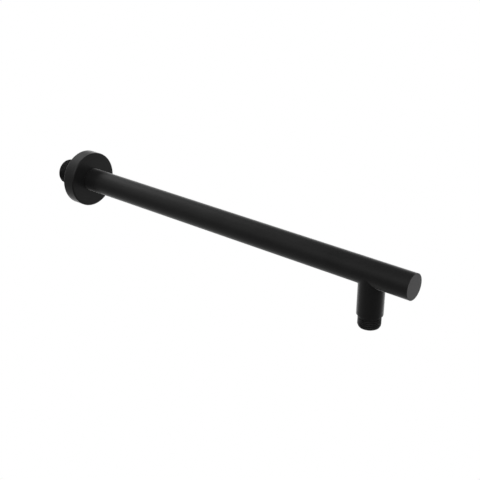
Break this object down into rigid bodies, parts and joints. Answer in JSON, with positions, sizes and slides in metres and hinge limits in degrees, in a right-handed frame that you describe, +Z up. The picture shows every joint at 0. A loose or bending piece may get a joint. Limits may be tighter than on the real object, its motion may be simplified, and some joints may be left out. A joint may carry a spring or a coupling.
{
  "type": "shower arm",
  "caption": "Straight round wall-mounted shower arm with a closed far end, a threaded outlet hanging below it, and a round cover plate that slides on the tube.",
  "frame": {"origin": "where the tube's axis crosses the wall face, at the front end of the wall thread", "axes": "-Y along the arm away from the wall, +Y into the wall, +Z up, -Z the way the outlet points"},
  "size_m": [0.0576, 0.433, 0.0795],
  "materials": {
    "arm_coating": "satin black coating on brass",
    "outlet_coating": "satin black coating on brass",
    "inlet_coating": "satin black coating on brass, threaded",
    "plate_coating": "satin black coating on brass",
    "ring_rubber": "matte black rubber"
  },
  "bodies": {
    "arm": {"arm_tube": "arm_coating", "end_cap": "arm_coating", "outlet_nipple": "outlet_coating", "wall_nipple": "inlet_coating"},
    "ring": {"flange_o_ring": "ring_rubber"},
    "plate": {"wall_flange": "plate_coating"}
  },
  "joints": [
    {"name": "plate_slide", "type": "slide", "parent": "arm", "child": "ring", "axis": [0, -1, 0], "range_m": [0, 0.3387]},
    {"name": "plate_turn", "type": "hinge", "parent": "ring", "child": "plate", "pos_m": [0, -0.0118, 0], "axis": [0, -1, 0], "continuous": true}
  ]
}
